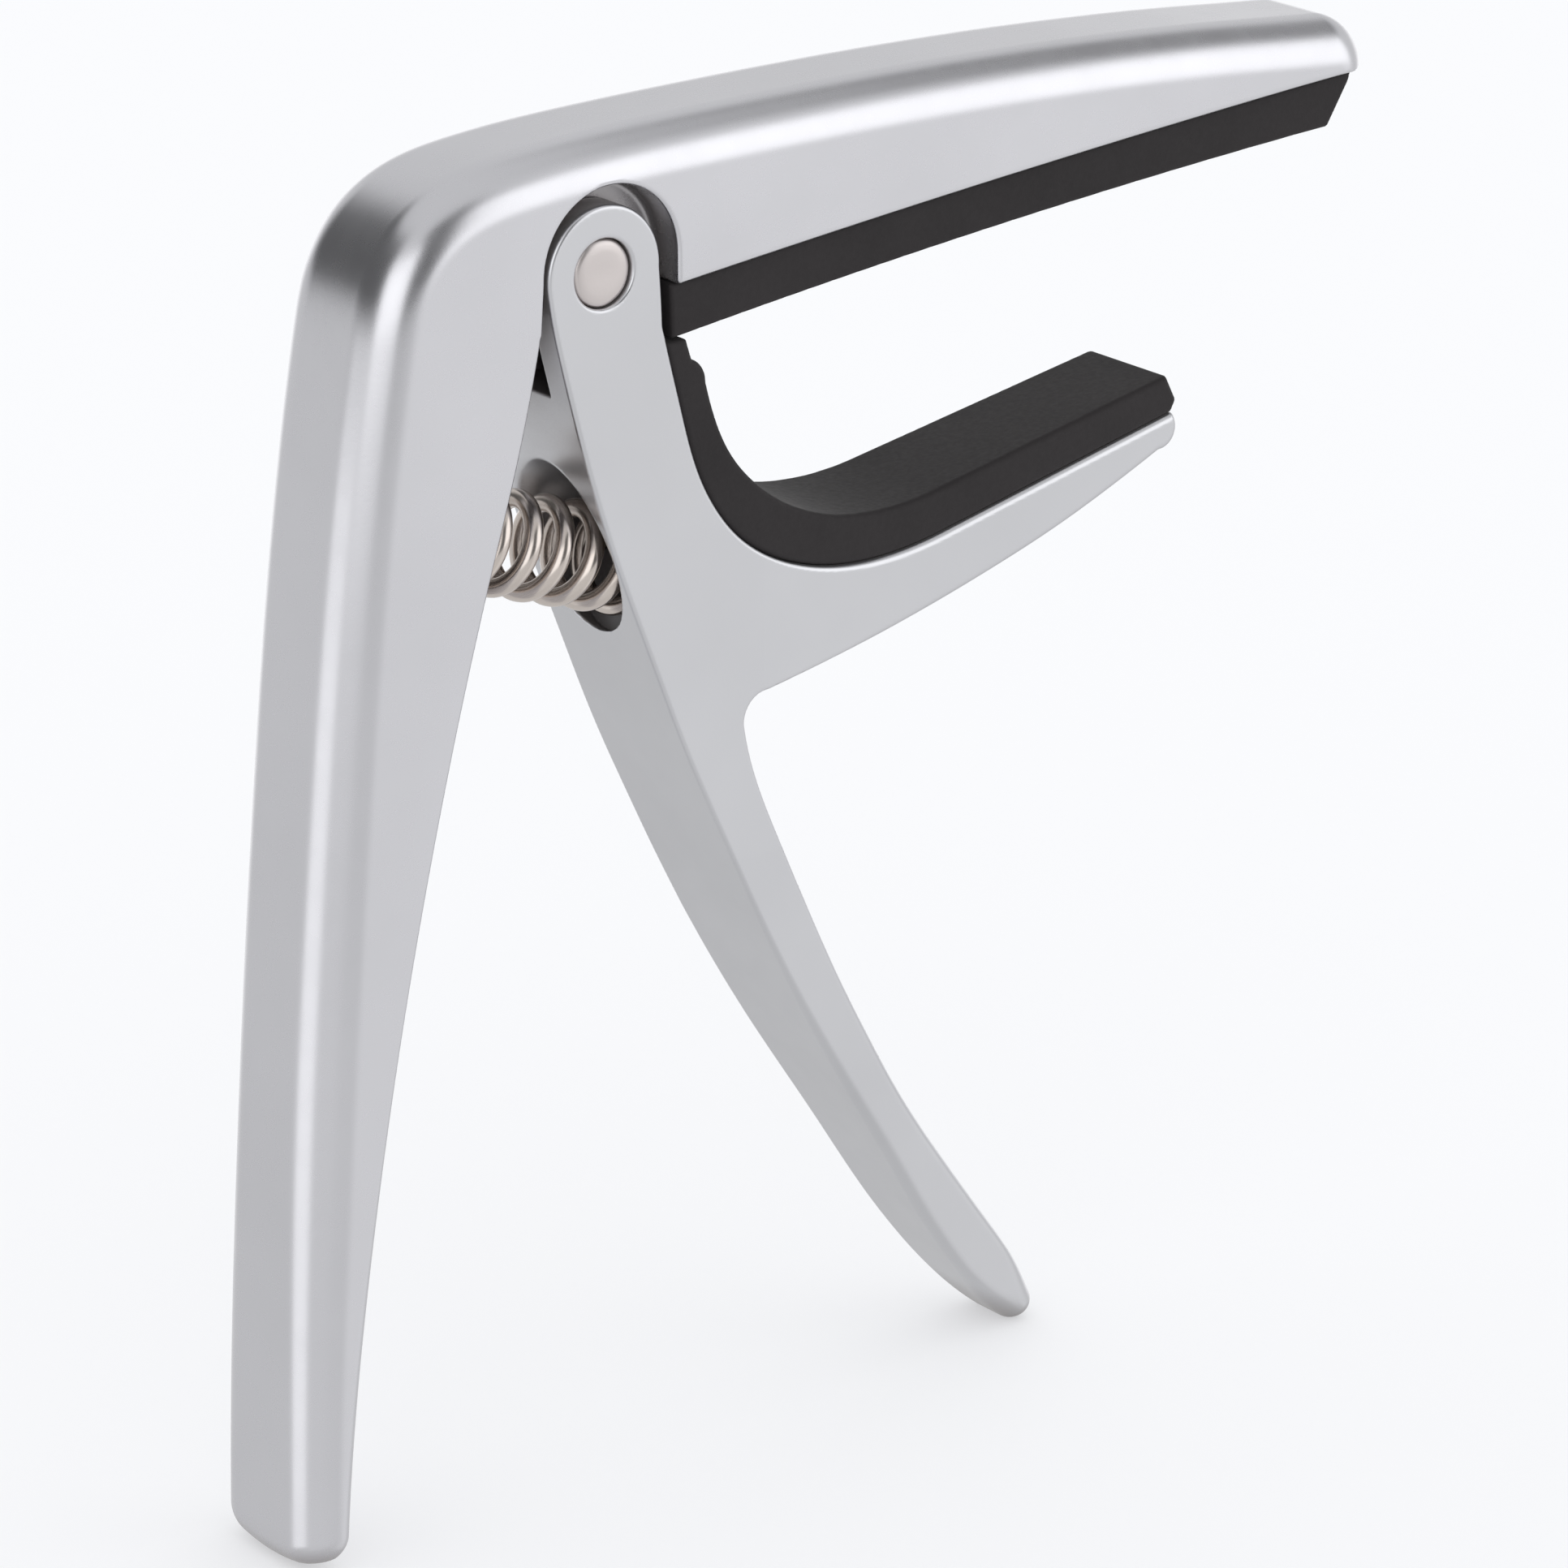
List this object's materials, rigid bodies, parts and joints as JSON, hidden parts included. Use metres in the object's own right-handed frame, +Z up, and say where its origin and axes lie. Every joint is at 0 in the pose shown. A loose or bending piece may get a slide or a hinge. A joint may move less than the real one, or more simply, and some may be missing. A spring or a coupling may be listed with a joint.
{
  "type": "guitar capo",
  "caption": "Trigger-style guitar capo: die-cast arm with a rubber string pad, and a spring-loaded lever on a pivot pin with a curved, padded neck jaw and a squeeze handle.",
  "frame": {"origin": "on the ground that the two handle ends stand on, under the middle of the capo", "axes": "+X from the elbow of the main arm towards the free end of its bar, +Z up through the bar, +Y along the pivot pin, away from the viewer of the side view"},
  "size_m": [0.0988, 0.012, 0.102],
  "materials": {
    "cast_aluminium_arm": "satin",
    "cast_aluminium_lever": "satin",
    "nickel_steel_pin": "peened",
    "nickel_steel_wire": "bright nickel plate",
    "black_rubber_string": "matt",
    "black_rubber_saddle": "matt"
  },
  "bodies": {
    "arm": {"main_arm": "cast_aluminium_arm", "string_pad": "black_rubber_string"},
    "lever": {"lever": "cast_aluminium_lever", "saddle_pad": "black_rubber_saddle", "pivot_pin": "nickel_steel_pin", "clamp_spring": "nickel_steel_wire"}
  },
  "joints": [
    {"name": "jaw_pivot", "type": "hinge", "parent": "arm", "child": "lever", "pos_m": [-0.02353, 0, 0.09208], "axis": [0, 1, 0], "range_deg": [0, 20], "stiffness_Nm_per_rad": 2.9, "springref_deg": -19.77, "deforming": ["clamp_spring"]}
  ]
}
